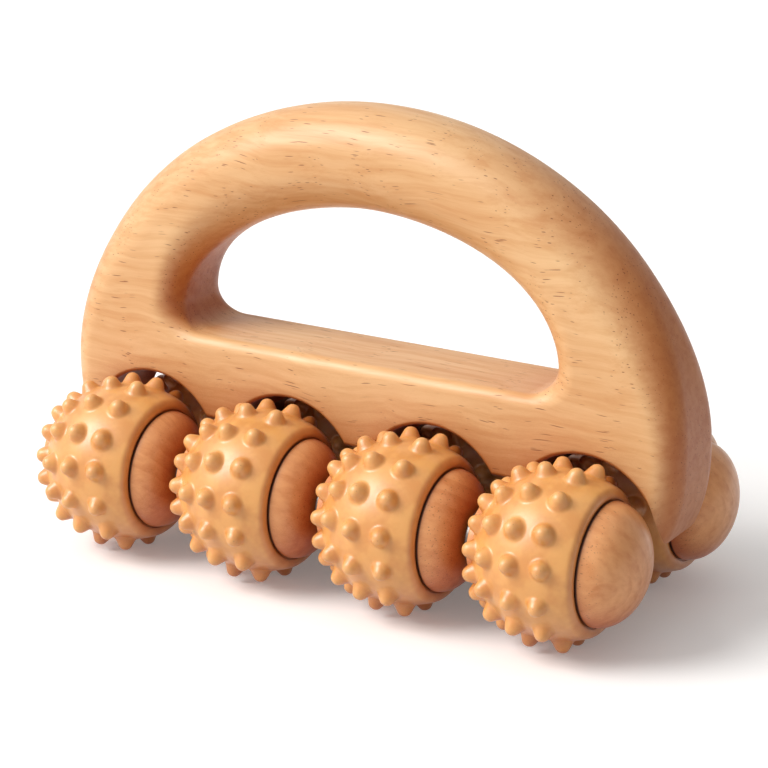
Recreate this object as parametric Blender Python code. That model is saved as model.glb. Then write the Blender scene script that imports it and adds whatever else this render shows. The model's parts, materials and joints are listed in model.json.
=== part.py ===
"""Foot massage roller: a D-shaped beech handle over two rows of four free-turning spiked balls.

Metres, +Z up. The origin is on the floor below the middle of the handle. X runs along the
handle, and both axles run along X, one on each side of the board.
"""
import math

import bmesh
import bpy
from mathutils import Matrix, Vector

MM = 0.001
FIT_GAP = 0.3 * MM

# Rollers
BALLS_PER_ROW = 4
BALL_PITCH = 42.0 * MM
ROW_HALF_SPACING = 24.8 * MM
ROW_OFFSET = 1.5 * MM
BALL_RADIUS = 20.2 * MM
BALL_HALF_LENGTH = 20.7 * MM
SPIKE_HEIGHT = 2.8 * MM
AXLE_HEIGHT = BALL_RADIUS + SPIKE_HEIGHT
HUB_FACE_X = -19.6 * MM
DOME_POLE_X = 20.2 * MM
END_DOME_POLE_X = 22.4 * MM

# Spikes on a sleeve: equal columns in rings that fill the ball from its neck to this latitude
SPIKE_COLUMNS = 14
SPIKE_RINGS = 4
SPIKE_PHASE = math.radians(3.0)
SPIKE_FIELD_LATITUDE = math.radians(23.5)
SPIKE_BASE_HALF_WIDTH = math.radians(7.8)
SPIKE_TIP_HALF = 1.3 * MM

# Sleeve, core and cap, turned about the axle
SLEEVE_BORE_RADIUS = 12.85 * MM
SLEEVE_NECK_RADIUS = 10.5 * MM
SLEEVE_STEP_X = -14.7 * MM
SLEEVE_SHOULDER_LATITUDE = math.radians(33.5)
SLEEVE_FACE_X = 11.5 * MM
SLEEVE_LIP_X = 12.3 * MM
SLEEVE_LIP_RADIUS = 15.9 * MM
SEAM_RADIUS = 15.4 * MM
CORE_BARREL_RADIUS = 12.5 * MM
CORE_HUB_RADIUS = 10.1 * MM
CORE_STEP_X = SLEEVE_STEP_X + FIT_GAP
CORE_FACE_X = 11.4 * MM
POCKET_RADIUS = 6.5 * MM
LEFT_POCKET_FLOOR_X = -13.5 * MM
RIGHT_POCKET_FLOOR_X = 5.0 * MM
CAP_BASE_X = CORE_FACE_X + FIT_GAP
CAP_RADIUS = 15.0 * MM
CAP_RIM_X = 12.7 * MM
SPIGOT_RADIUS = 6.2 * MM
SPIGOT_END_X = 9.2 * MM
PLUG_INNER_X = -17.0 * MM
CORE_SIDES = 12
CAP_SIDES = 16
DOME_STEPS = 3

# Axles and their push-on clips
ROD_RADIUS = 3.0 * MM
BORE_RADIUS = 3.35 * MM
ROD_SIDES = 14
ROD_LEFT_OVERHANG = -16.0 * MM
ROD_RIGHT_OVERHANG = 8.5 * MM
CLIP_RADIUS = 6.0 * MM
CLIP_THICKNESS = 1.5 * MM

# Hanger plates between neighbouring balls, let into the teeth of the board
HANGER_THICKNESS = 1.5 * MM
HANGER_OFFSET = 0.25 * MM
HANGER_EYE_STEPS = 8
BORE_CUTTER_OVERHANG = 12.0 * MM
HANGER_EYE_RADIUS = 7.5 * MM
HANGER_SHOULDER_HALF = 12.7 * MM
HANGER_RISER_HALF = 10.0 * MM
HANGER_RISER_TOP = 26.0 * MM
HANGER_WAIST_DROP = 5.0 * MM
PIN_RADIUS = 1.5 * MM
PIN_BORE_RADIUS = 1.9 * MM
PIN_LENGTH = 14.0 * MM
PIN_Y = 5.0 * MM
PIN_RISE = 18.0 * MM
PIN_SIDES = 8

# Handle board; heights are above the axles
BOARD_THICKNESS = 26.0 * MM
HALF_LENGTH = 88.2 * MM
WAIST_RISE = 20.5 * MM
ARCH_HEIGHT = 75.3 * MM
LEG_DROP = 28.0 * MM
LEG_REACH = 16.5 * MM
LEG_SQUARENESS = 2.2
OPENING_HALF_WIDTH = 54.6 * MM
OPENING_FLOOR = 32.9 * MM
OPENING_CORNER = 7.0 * MM
OPENING_TOP = 70.0 * MM
OPENING_SQUARENESS = 1.85
SCALLOP_RADIUS = 19.6 * MM
SCALLOP_RISE = 2.4 * MM
SCALLOP_SIDES = 36
CUTTER_OVERHANG = 2.0 * MM
TOOTH_BOTTOM = 11.0 * MM
GRIP_ROUND = 12.0 * MM
END_ROUND = 7.0 * MM
OPENING_ROUND = 7.0 * MM
BAR_ARRIS = 3.0 * MM
TOOTH_ARRIS = 1.5 * MM
GRIP_ROUND_RISE = 45.0 * MM
OPENING_ROUND_RISE = 24.0 * MM
ROUND_STEPS = 3
ARCH_STEPS = 22
LEG_STEPS = 5
CORNER_STEPS = 3

SMOOTH_ANGLE = math.radians(38.0)
BEECH = ("beech", (0.62, 0.33, 0.13), 0.38, 0.0)
DOME_WOOD = ("dome_wood", (0.52, 0.25, 0.10), 0.35, 0.0)
RUBBER = ("tan_rubber", (0.66, 0.36, 0.16), 0.45, 0.0)
STEEL = ("steel", (0.55, 0.55, 0.56), 0.30, 1.0)


def clear_scene():
    for item in list(bpy.data.objects):
        bpy.data.objects.remove(item, do_unlink=True)


def material(spec):
    """The named Principled material, made the first time it is asked for."""
    name, colour, roughness, metallic = spec
    found = bpy.data.materials.get(name)
    if found:
        return found
    made = bpy.data.materials.new(name)
    made.use_nodes = True
    shader = made.node_tree.nodes["Principled BSDF"]
    shader.inputs["Base Color"].default_value = (*colour, 1.0)
    shader.inputs["Roughness"].default_value = roughness
    shader.inputs["Metallic"].default_value = metallic
    made.diffuse_color = (*colour, 1.0)
    return made


def mesh_from(bm, name, spec):
    """Close off a bmesh as a smooth-shaded mesh with outward faces and one material."""
    bmesh.ops.recalc_face_normals(bm, faces=bm.faces[:])
    mesh = bpy.data.meshes.new(name)
    bm.to_mesh(mesh)
    bm.free()
    mesh.materials.append(material(spec))
    mesh.shade_smooth()
    mesh.set_sharp_from_angle(angle=SMOOTH_ANGLE)
    return mesh


def place(name, mesh, location=(0, 0, 0), parent=None):
    item = bpy.data.objects.new(name, mesh)
    bpy.context.collection.objects.link(item)
    item.location = location
    item.parent = parent
    return item


def empty(name, location):
    item = place(name, None, location)
    item.empty_display_size = BALL_RADIUS
    return item


# Turned pieces ---------------------------------------------------------------------------


def even_angles(sides):
    return [2 * math.pi * (i + 0.5) / sides for i in range(sides)]


def ring_point(x, radius, angle):
    """A point at a radius from the X axis, its angle taken from straight up towards -Y."""
    return Vector((x, -radius * math.sin(angle), radius * math.cos(angle)))


def turned_rings(bm, profile, angles):
    """One ring of vertices for each profile point, or a single vertex on the axis."""
    rings = []
    for x, radius in profile:
        around = angles if radius > 0 else [0.0]
        rings.append([bm.verts.new(ring_point(x, radius, a)) for a in around])
    return rings


def turned_face(first, second, column, count):
    """The corners of one face between two neighbouring rings."""
    following = (column + 1) % count
    if len(first) == 1:
        return [first[0], second[column], second[following]]
    if len(second) == 1:
        return [first[column], first[following], second[0]]
    return [first[column], first[following], second[following], second[column]]


def turned(profile, sides, name, spec):
    """Turn an outline of (x, radius) points about X; an outline with no axis point closes on itself."""
    bm = bmesh.new()
    rings = turned_rings(bm, profile, even_angles(sides))
    pairs = list(zip(rings, rings[1:]))
    if all(radius > 0 for _, radius in profile):
        pairs.append((rings[-1], rings[0]))
    for first, second in pairs:
        for column in range(sides):
            bm.faces.new(turned_face(first, second, column, sides))
    return mesh_from(bm, name, spec)


def on_ball(latitude, height=0.0):
    """A point (x, radius) of the ball's slightly long outline, or at a height above it."""
    along = BALL_HALF_LENGTH + height
    return (along * math.sin(latitude), (BALL_RADIUS + height) * math.cos(latitude))


def add_spike(bm, base, latitude, column):
    """A four-sided blunt spike standing on a quad of the ball's surface."""
    angle = SPIKE_PHASE + 2 * math.pi * column / SPIKE_COLUMNS
    middle = sum((v.co for v in base), Vector()) / 4
    tip_centre = ring_point(*on_ball(latitude, SPIKE_HEIGHT), angle)
    direction = (tip_centre - ring_point(*on_ball(latitude), angle)).normalized()
    tip = []
    for corner in base:
        outward = corner.co - middle
        outward -= direction * outward.dot(direction)
        spread = outward.normalized() * SPIKE_TIP_HALF * math.sqrt(2)
        tip.append(bm.verts.new(tip_centre + spread))
    for i in range(4):
        following = (i + 1) % 4
        bm.faces.new([base[i], base[following], tip[following], tip[i]])
    bm.faces.new(tip)


def sleeve_mesh():
    """The rubber sleeve: a bored ball surface with a lip round the cap and a field of spikes."""
    angles = []
    for column in range(SPIKE_COLUMNS):
        middle = SPIKE_PHASE + 2 * math.pi * column / SPIKE_COLUMNS
        angles += [middle - SPIKE_BASE_HALF_WIDTH, middle + SPIKE_BASE_HALF_WIDTH]
    neck_latitude = -math.acos(SLEEVE_NECK_RADIUS / BALL_RADIUS)
    ring_step = (SPIKE_FIELD_LATITUDE - neck_latitude) / SPIKE_RINGS
    profile = [on_ball(neck_latitude + ring_step * i) for i in range(SPIKE_RINGS + 1)]
    profile += [
        on_ball(SLEEVE_SHOULDER_LATITUDE),
        (SLEEVE_LIP_X, SLEEVE_LIP_RADIUS),
        (SLEEVE_FACE_X, SEAM_RADIUS),
        (SLEEVE_FACE_X, SLEEVE_BORE_RADIUS),
        (SLEEVE_STEP_X, SLEEVE_BORE_RADIUS),
        (SLEEVE_STEP_X, SLEEVE_NECK_RADIUS),
    ]
    bm = bmesh.new()
    rings = turned_rings(bm, profile, angles)
    for band in range(len(rings)):
        first, second = rings[band], rings[(band + 1) % len(rings)]
        for side in range(len(angles)):
            corners = turned_face(first, second, side, len(angles))
            if band < SPIKE_RINGS and side % 2 == 0:
                latitude = neck_latitude + ring_step * (band + 0.5)
                add_spike(bm, corners, latitude, side // 2)
            else:
                bm.faces.new(corners)
    return mesh_from(bm, "sleeve", RUBBER)


def core_mesh():
    """The wooden spool inside a ball: a barrel, a hub and a pocket in each end."""
    profile = [
        (LEFT_POCKET_FLOOR_X, BORE_RADIUS),
        (LEFT_POCKET_FLOOR_X, POCKET_RADIUS),
        (HUB_FACE_X, POCKET_RADIUS),
        (HUB_FACE_X, CORE_HUB_RADIUS),
        (CORE_STEP_X, CORE_HUB_RADIUS),
        (CORE_STEP_X, CORE_BARREL_RADIUS),
        (CORE_FACE_X, CORE_BARREL_RADIUS),
        (CORE_FACE_X, POCKET_RADIUS),
        (RIGHT_POCKET_FLOOR_X, POCKET_RADIUS),
        (RIGHT_POCKET_FLOOR_X, BORE_RADIUS),
    ]
    return turned(profile, CORE_SIDES, "core", DOME_WOOD)


def dome_curve(pole_x, inner_radius, steps):
    """Points of the cap's spherical face, from its rim in to a radius at the middle."""
    rise = pole_x - CAP_RIM_X
    sphere = (CAP_RADIUS ** 2 + rise ** 2) / (2 * rise)
    centre_x = pole_x - sphere
    rim_angle = math.asin(CAP_RADIUS / sphere)
    end_angle = math.asin(inner_radius / sphere)
    points = []
    for i in range(steps + 1):
        angle = rim_angle + (end_angle - rim_angle) * i / steps
        points.append((centre_x + sphere * math.cos(angle), sphere * math.sin(angle)))
    return points


def cap_mesh(bored):
    """The wooden dome that closes a ball, bored where the axle goes on, or blind and fuller."""
    inner = BORE_RADIUS if bored else 0.0
    pole_x = DOME_POLE_X if bored else END_DOME_POLE_X
    profile = [
        (SPIGOT_END_X, inner),
        (SPIGOT_END_X, SPIGOT_RADIUS),
        (CAP_BASE_X, SPIGOT_RADIUS),
        (CAP_BASE_X, CAP_RADIUS),
    ]
    profile += dome_curve(pole_x, inner, DOME_STEPS)
    name = "bored_dome_cap" if bored else "blind_dome_cap"
    return turned(profile, CAP_SIDES, name, DOME_WOOD)


def tube_profile(start_x, end_x, inner, outer):
    return [(start_x, inner), (start_x, outer), (end_x, outer), (end_x, inner)]


def bar_mesh(length, radius, sides, name, spec):
    """A solid round bar about X, from zero to its length."""
    profile = [(0.0, 0.0), (0.0, radius), (length, radius), (length, 0.0)]
    return turned(profile, sides, name, spec)


# Handle ----------------------------------------------------------------------------------


def ease(value):
    """Zero to one with a flat start and end."""
    value = min(max(value, 0.0), 1.0)
    return value * value * (3 - 2 * value)


def ball_positions():
    middle = (BALLS_PER_ROW - 1) / 2
    return [ROW_OFFSET + (i - middle) * BALL_PITCH for i in range(BALLS_PER_ROW)]


def hanger_positions():
    balls = ball_positions()
    return [(a + b) / 2 + HANGER_OFFSET for a, b in zip(balls, balls[1:])]


def arch_outline():
    """The arch, from its widest point at +X over the top to -X, as (x, z, edge round)."""
    points = []
    for i in range(ARCH_STEPS + 1):
        angle = math.pi * i / ARCH_STEPS
        z = WAIST_RISE + ARCH_HEIGHT * math.sin(angle)
        edge = END_ROUND + (GRIP_ROUND - END_ROUND) * ease((z - WAIST_RISE) / GRIP_ROUND_RISE)
        points.append((HALF_LENGTH * math.cos(angle), z, edge))
    return points


def superellipse(angle, squareness):
    """Cosine and sine of an angle, pushed out towards a square corner."""
    power = 2 / squareness
    cosine, sine = math.cos(angle), math.sin(angle)
    return math.copysign(abs(cosine) ** power, cosine), abs(sine) ** power


def leg_outline():
    """The end of the board below its widest point, at +X, curving in under the end ball."""
    points = []
    for i in range(1, LEG_STEPS + 1):
        reach, drop = superellipse(0.5 * math.pi * i / LEG_STEPS, LEG_SQUARENESS)
        x = HALF_LENGTH - LEG_REACH * (1 - reach)
        edge = TOOTH_ARRIS + (END_ROUND - TOOTH_ARRIS) * ease(reach)
        points.append((x, WAIST_RISE - LEG_DROP * drop, edge))
    return points


def outer_outline():
    """The board's outer edge before it is scalloped, counterclockwise seen from the front."""
    leg = leg_outline()
    left_leg = [(-x, z, edge) for x, z, edge in leg]
    balls = ball_positions()
    teeth = [(balls[0], TOOTH_BOTTOM, TOOTH_ARRIS), (balls[-1], TOOTH_BOTTOM, TOOTH_ARRIS)]
    return arch_outline() + left_leg + teeth + leg[::-1]


def opening_outline():
    """The finger opening, clockwise, so that the wood is on its left as on the outer edge."""
    side_z = OPENING_FLOOR + OPENING_CORNER
    points = []
    for i in range(ARCH_STEPS + 1):
        reach, rise = superellipse(math.pi - math.pi * i / ARCH_STEPS, OPENING_SQUARENESS)
        z = side_z + (OPENING_TOP - side_z) * rise
        fullness = ease((z - side_z) / OPENING_ROUND_RISE)
        edge = OPENING_ROUND + (GRIP_ROUND - OPENING_ROUND) * fullness
        points.append((OPENING_HALF_WIDTH * reach, z, edge))
    corner = []
    for i in range(1, CORNER_STEPS + 1):
        angle = 0.5 * math.pi * i / CORNER_STEPS
        x = OPENING_HALF_WIDTH - OPENING_CORNER * (1 - math.cos(angle))
        z = side_z - OPENING_CORNER * math.sin(angle)
        edge = OPENING_ROUND + (BAR_ARRIS - OPENING_ROUND) * ease(i / CORNER_STEPS)
        corner.append((x, z, edge))
    return points + corner + [(-x, z, edge) for x, z, edge in corner[::-1]]


def inward_offsets(outline):
    """For each outline point, the mitred direction into the wood that its neighbours give."""
    result = []
    count = len(outline)
    for i in range(count):
        before, here, after = (Vector(outline[(i + k) % count][:2]) for k in (-1, 0, 1))
        first = (here - before).normalized()
        second = (after - here).normalized()
        normal_a = Vector((-first.y, first.x))
        normal_b = Vector((-second.y, second.x))
        result.append((normal_a + normal_b) / (1 + normal_a.dot(normal_b)))
    return result


def edge_rings(bm, outline):
    """Rings of vertices round one edge of the board, front face to back face."""
    half = BOARD_THICKNESS / 2
    offsets = inward_offsets(outline)
    quarter = [0.5 * math.pi * i / ROUND_STEPS for i in range(ROUND_STEPS + 1)]
    sections = [(-1, a) for a in quarter[::-1]] + [(1, a) for a in quarter]
    rings = []
    for side, angle in sections:
        ring = []
        for (x, z, edge), offset in zip(outline, offsets):
            inset = edge * (1 - math.cos(angle))
            y = side * (half - edge * (1 - math.sin(angle)))
            place_x = x + offset.x * inset
            place_z = AXLE_HEIGHT + z + offset.y * inset
            ring.append(bm.verts.new((place_x, y, place_z)))
        rings.append(ring)
    return rings


def ring_edges(bm, ring):
    return [bm.edges.get((ring[i], ring[(i + 1) % len(ring)])) for i in range(len(ring))]


def handle_mesh():
    """The board with rounded edges, before its scallops, mortises and pin bores are cut."""
    bm = bmesh.new()
    loops = [edge_rings(bm, outer_outline()), edge_rings(bm, opening_outline())]
    for rings in loops:
        for first, second in zip(rings, rings[1:]):
            for i in range(len(first)):
                bm.faces.new(turned_face(first, second, i, len(first)))
    for end in (0, -1):
        edges = [edge for rings in loops for edge in ring_edges(bm, rings[end])]
        bmesh.ops.triangle_fill(bm, edges=edges, use_beauty=True)
    return mesh_from(bm, "handle", BEECH)


def add_box(bm, low, high):
    size = Vector(high) - Vector(low)
    middle = (Vector(high) + Vector(low)) / 2
    bmesh.ops.create_cube(bm, size=1.0, matrix=Matrix.Translation(middle) @ Matrix.Diagonal((*size, 1.0)))


def mortise_mesh():
    """One slot for each hanger's riser, open at the bottom of its tooth."""
    bm = bmesh.new()
    half_x = HANGER_THICKNESS / 2 + FIT_GAP
    half_y = HANGER_RISER_HALF + FIT_GAP
    low_z = AXLE_HEIGHT + TOOTH_BOTTOM - CUTTER_OVERHANG
    high_z = AXLE_HEIGHT + HANGER_RISER_TOP + FIT_GAP
    for x in hanger_positions():
        add_box(bm, (x - half_x, -half_y, low_z), (x + half_x, half_y, high_z))
    return mesh_from(bm, "mortises", BEECH)


def scallop_mesh():
    """A round drum across the board, for the arch that is cut over a ball."""
    half = BOARD_THICKNESS / 2 + CUTTER_OVERHANG
    drum = bar_mesh(2 * half, SCALLOP_RADIUS, SCALLOP_SIDES, "scallop", BEECH)
    drum.transform(Matrix.Translation((0, -half, 0)) @ Matrix.Rotation(math.pi / 2, 4, "Z"))
    return drum


def hidden_cutter(name, mesh, location=(0, 0, 0)):
    cutter = place(name, mesh, location)
    cutter.hide_render = True
    cutter.display_type = "WIRE"
    return cutter


def subtract(item, cutter):
    """Subtract a hidden cutter from an object with a live Boolean."""
    modifier = item.modifiers.new(cutter.name, "BOOLEAN")
    modifier.operation = "DIFFERENCE"
    modifier.solver = "EXACT"
    modifier.object = cutter


def build_handle():
    handle = place("handle", handle_mesh())
    scallop = scallop_mesh()
    for number, x in enumerate(ball_positions(), start=1):
        where = (x, 0, AXLE_HEIGHT + SCALLOP_RISE)
        subtract(handle, hidden_cutter("scallop_cutter_" + str(number), scallop, where))
    subtract(handle, hidden_cutter("mortise_cutter", mortise_mesh()))
    start = hanger_positions()[0] - BORE_CUTTER_OVERHANG
    length = hanger_positions()[-1] + BORE_CUTTER_OVERHANG - start
    bore = bar_mesh(length, PIN_BORE_RADIUS, PIN_SIDES, "pin_bore", BEECH)
    for y, row in ((-PIN_Y, "near"), (PIN_Y, "far")):
        where = (start, y, AXLE_HEIGHT + PIN_RISE)
        subtract(handle, hidden_cutter("pin_bore_cutter_" + row, bore, where))


# Hangers, pins, axles --------------------------------------------------------------------


def hanger_outline():
    """One plate seen along X as (y, z) above the axles: an eye at each end and a riser between."""
    shoulder_z = TOOTH_BOTTOM - FIT_GAP
    eye = []
    for i in range(HANGER_EYE_STEPS + 1):
        angle = math.pi * (i / HANGER_EYE_STEPS - 0.5)
        y = ROW_HALF_SPACING + HANGER_EYE_RADIUS * math.cos(angle)
        eye.append((y, HANGER_EYE_RADIUS * math.sin(angle)))
    right = [(HANGER_SHOULDER_HALF, -HANGER_WAIST_DROP)] + eye
    right += [
        (HANGER_SHOULDER_HALF, shoulder_z),
        (HANGER_RISER_HALF, shoulder_z),
        (HANGER_RISER_HALF, HANGER_RISER_TOP),
    ]
    return right + [(-y, z) for y, z in right[::-1]]


def hanger_mesh():
    bm = bmesh.new()
    half = HANGER_THICKNESS / 2
    flat = [bm.verts.new((-half, y, z)) for y, z in hanger_outline()]
    face = bm.faces.new(flat)
    extruded = bmesh.ops.extrude_face_region(bm, geom=[face])
    moved = [v for v in extruded["geom"] if isinstance(v, bmesh.types.BMVert)]
    bmesh.ops.translate(bm, verts=moved, vec=(HANGER_THICKNESS, 0, 0))
    return mesh_from(bm, "hanger", STEEL)


def build_hangers():
    plate = hanger_mesh()
    pin = bar_mesh(PIN_LENGTH, PIN_RADIUS, PIN_SIDES, "pin", STEEL)
    hangers = []
    for x, side in zip(hanger_positions(), ("left", "middle", "right")):
        hangers.append(place("hanger_" + side, plate, (x, 0, AXLE_HEIGHT)))
        for y, row in ((-PIN_Y, "near"), (PIN_Y, "far")):
            where = (x - PIN_LENGTH / 2, y, AXLE_HEIGHT + PIN_RISE)
            place("hanger_pin_" + side + "_" + row, pin, where)
    start = hanger_positions()[0] - BORE_CUTTER_OVERHANG
    length = hanger_positions()[-1] + BORE_CUTTER_OVERHANG - start
    rod_bore = bar_mesh(length, BORE_RADIUS, ROD_SIDES, "rod_bore", STEEL)
    pin_bore = bar_mesh(length, PIN_BORE_RADIUS, PIN_SIDES, "hanger_pin_bore", STEEL)
    for mesh, distance, rise in ((rod_bore, ROW_HALF_SPACING, 0.0), (pin_bore, PIN_Y, PIN_RISE)):
        for y, row in ((-distance, "near"), (distance, "far")):
            where = (start, y, AXLE_HEIGHT + rise)
            cutter = hidden_cutter(mesh.name + "_cutter_" + row, mesh, where)
            for hanger in hangers:
                subtract(hanger, cutter)


def build_axles():
    """A long rod for each row, with a push-on clip in the pocket of each end ball."""
    left, right = ball_positions()[0], ball_positions()[-1]
    start = left + ROD_LEFT_OVERHANG
    length = right + ROD_RIGHT_OVERHANG - start
    rod = bar_mesh(length, ROD_RADIUS, ROD_SIDES, "axle_rod", STEEL)
    clip_profile = tube_profile(0.0, CLIP_THICKNESS, BORE_RADIUS, CLIP_RADIUS)
    clip = turned(clip_profile, ROD_SIDES, "axle_clip", STEEL)
    left_clip_x = left + LEFT_POCKET_FLOOR_X - FIT_GAP - CLIP_THICKNESS
    right_clip_x = right + RIGHT_POCKET_FLOOR_X + FIT_GAP
    for y, row in ((-ROW_HALF_SPACING, "near"), (ROW_HALF_SPACING, "far")):
        place("axle_rod_" + row, rod, (start, y, AXLE_HEIGHT))
        place("axle_clip_" + row + "_left", clip, (left_clip_x, y, AXLE_HEIGHT))
        place("axle_clip_" + row + "_right", clip, (right_clip_x, y, AXLE_HEIGHT))


def build_rollers():
    """Eight rollers; an empty on the axle carries each one's core, sleeve and dome cap."""
    sleeve = sleeve_mesh()
    core = core_mesh()
    bored_cap = cap_mesh(bored=True)
    blind_cap = cap_mesh(bored=False)
    plug_profile = [
        (HUB_FACE_X, 0.0),
        (HUB_FACE_X, SPIGOT_RADIUS),
        (PLUG_INNER_X, SPIGOT_RADIUS),
        (PLUG_INNER_X, 0.0),
    ]
    plug = turned(plug_profile, CORE_SIDES, "end_plug", DOME_WOOD)
    for y, row in ((-ROW_HALF_SPACING, "near"), (ROW_HALF_SPACING, "far")):
        for number, x in enumerate(ball_positions(), start=1):
            tag = row + "_" + str(number)
            pivot = empty("roller_" + tag, (x, y, AXLE_HEIGHT))
            place("core_" + tag, core, parent=pivot)
            place("sleeve_" + tag, sleeve, parent=pivot)
            last = number == BALLS_PER_ROW
            place("dome_cap_" + tag, blind_cap if last else bored_cap, parent=pivot)
            if number == 1:
                place("end_plug_" + row, plug, parent=pivot)


def build():
    clear_scene()
    build_handle()
    build_hangers()
    build_axles()
    build_rollers()
    bpy.context.view_layer.update()


build()
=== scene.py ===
"""The looks of the foot massage roller: beech handle, spiked rubber balls with wooden domes.

Sizes come from the frame and from a few driving dimensions in millimetres. Turned pieces are
outlines of (x, radius) points about their ball's axle; the handle is two edge outlines with a
rounded edge that varies along them.
"""
import json
import math
import random

import bmesh
import bpy
import numpy as np
from mathutils import Matrix, Vector, geometry


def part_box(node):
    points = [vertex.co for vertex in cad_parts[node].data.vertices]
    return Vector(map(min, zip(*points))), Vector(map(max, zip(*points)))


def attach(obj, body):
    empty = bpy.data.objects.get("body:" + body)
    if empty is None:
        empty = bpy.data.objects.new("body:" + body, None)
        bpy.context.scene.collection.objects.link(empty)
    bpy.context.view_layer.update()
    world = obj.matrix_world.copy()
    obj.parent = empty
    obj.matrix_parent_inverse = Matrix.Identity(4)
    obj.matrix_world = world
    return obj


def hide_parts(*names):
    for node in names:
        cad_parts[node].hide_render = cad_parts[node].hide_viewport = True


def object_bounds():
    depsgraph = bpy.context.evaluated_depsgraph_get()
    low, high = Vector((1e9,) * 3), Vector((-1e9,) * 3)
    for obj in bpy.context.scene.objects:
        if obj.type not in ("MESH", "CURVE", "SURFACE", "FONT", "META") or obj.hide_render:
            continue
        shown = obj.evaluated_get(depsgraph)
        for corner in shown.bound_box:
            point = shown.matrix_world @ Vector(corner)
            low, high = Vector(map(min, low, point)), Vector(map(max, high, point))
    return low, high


MM = 0.001

# Balls, in millimetres from the ball's middle
BALL_RADIUS = 20.2
BALL_HALF_LENGTH = 20.7
LIP_SIDE_HALF_LENGTH = 24.0
NECK_RADIUS = 10.5
SPIKE_COLUMNS = 14
SPIKE_RINGS = 4
SPIKE_PHASE = math.radians(3.0)
SPIKE_FIELD_LATITUDE = math.radians(21.4)
SPIKE_HEIGHT = 2.9
SPIKE_TIP_RADIUS = 1.75
SPIKE_FLANK = math.radians(31.0)
SPIKE_FOOT_RADIUS = 0.7
SLEEVE_COLUMNS = SPIKE_COLUMNS * 22
SLEEVE_ROWS = 92
SHOULDER_LATITUDE = math.radians(26.2)
LIP_ROUND = 2.2
LIP_END_ANGLE = math.radians(105.0)
SLEEVE_FACE_X = 11.5
SLEEVE_BORE_RADIUS = 12.85
SLEEVE_STEP_X = -14.7
CORE_FACE_X = 11.4
CORE_STEP_X = -14.4
CORE_BARREL_RADIUS = 12.5
CORE_HUB_RADIUS = 10.1
HUB_FACE_X = -19.6
POCKET_RADIUS = 6.5
LEFT_POCKET_FLOOR_X = -13.5
RIGHT_POCKET_FLOOR_X = 5.0
CAP_BASE_X = 11.7
CAP_RADIUS = 15.1
CAP_RIM_X = 11.9
# Where the painted shade of the seam ends on the dome
SEAM_SHADE_X = 12.3
DOME_POLE_X = 20.2
END_DOME_POLE_X = 22.4
SPIGOT_RADIUS = 6.2
SPIGOT_END_X = 9.2
BORE_RADIUS = 3.3
PLUG_INNER_X = -17.0
ROD_RADIUS = 3.0
PIN_RADIUS = 1.5
CLIP_THICKNESS = 1.5
CLIP_RADIUS = 6.0

# Handle, heights in millimetres above the axles
WAIST_RISE = 20.5
LEG_DROP = 28.0
LEG_REACH = 16.5
LEG_SQUARENESS = 2.2
OPENING_HALF_WIDTH = 54.6
OPENING_FLOOR = 32.9
OPENING_CORNER = 7.0
OPENING_TOP = 70.0
OPENING_SQUARENESS = 1.85
SCALLOP_RADIUS = 19.6
SCALLOP_RISE = 1.2
TOOTH_BOTTOM = 11.0
GRIP_ROUND = 12.0
END_ROUND = 7.0
OPENING_ROUND = 7.0
BAR_ARRIS = 3.0
TOOTH_ARRIS = 1.5
SCALLOP_ARRIS = 1.2
GRIP_ROUND_RISE = 45.0
OPENING_ROUND_RISE = 24.0
ROUND_STEPS = 9
ARCH_STEPS = 150
SCALLOP_SIDES = 144
LEG_STEPS = 20
CORNER_STEPS = 12
BAR_STEPS = 24

# Hanger plates
HANGER_THICKNESS = 1.5
HANGER_OFFSET = 0.25
HANGER_EYE_RADIUS = 7.5
HANGER_SHOULDER_HALF = 12.7
HANGER_RISER_HALF = 10.0
HANGER_RISER_TOP = 26.0
HANGER_WAIST_DROP = 5.0
HANGER_EDGE = 0.3
HOLE_CLEARANCE = 0.3
PIN_Y = 5.0
PIN_RISE = 18.0

# Camera, fitted to a long lens from the right front
CAMERA_AZIMUTH = math.radians(31.2)
CAMERA_ELEVATION = math.radians(18.0)
CAMERA_DISTANCE = 0.630
CAMERA_RIGHT = 0.0128
CAMERA_UP = 0.0299
CAMERA_LENS = 119.5

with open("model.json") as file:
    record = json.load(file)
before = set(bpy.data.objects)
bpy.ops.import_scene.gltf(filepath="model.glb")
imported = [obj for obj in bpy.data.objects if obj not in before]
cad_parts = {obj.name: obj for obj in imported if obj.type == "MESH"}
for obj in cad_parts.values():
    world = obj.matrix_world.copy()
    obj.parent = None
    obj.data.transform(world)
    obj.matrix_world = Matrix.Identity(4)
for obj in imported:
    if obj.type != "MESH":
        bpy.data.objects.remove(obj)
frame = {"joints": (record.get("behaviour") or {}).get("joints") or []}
cad_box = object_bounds()
PIVOTS = {j["child"]: Vector(j["pos_m"]) for j in frame["joints"]}
HANDLE_LOW, HANDLE_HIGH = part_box("handle")
AXLE_Z = PIVOTS["roller_near_1"].z
HALF_LENGTH = HANDLE_HIGH.x / MM
HALF_THICKNESS = HANDLE_HIGH.y / MM
ARCH_HEIGHT = (HANDLE_HIGH.z - AXLE_Z) / MM - WAIST_RISE
BALLS = sorted(PIVOTS[name].x / MM for name in PIVOTS if "near" in name)
ROW_Y = PIVOTS["roller_far_1"].y / MM


# Shader building -------------------------------------------------------------------------


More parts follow.
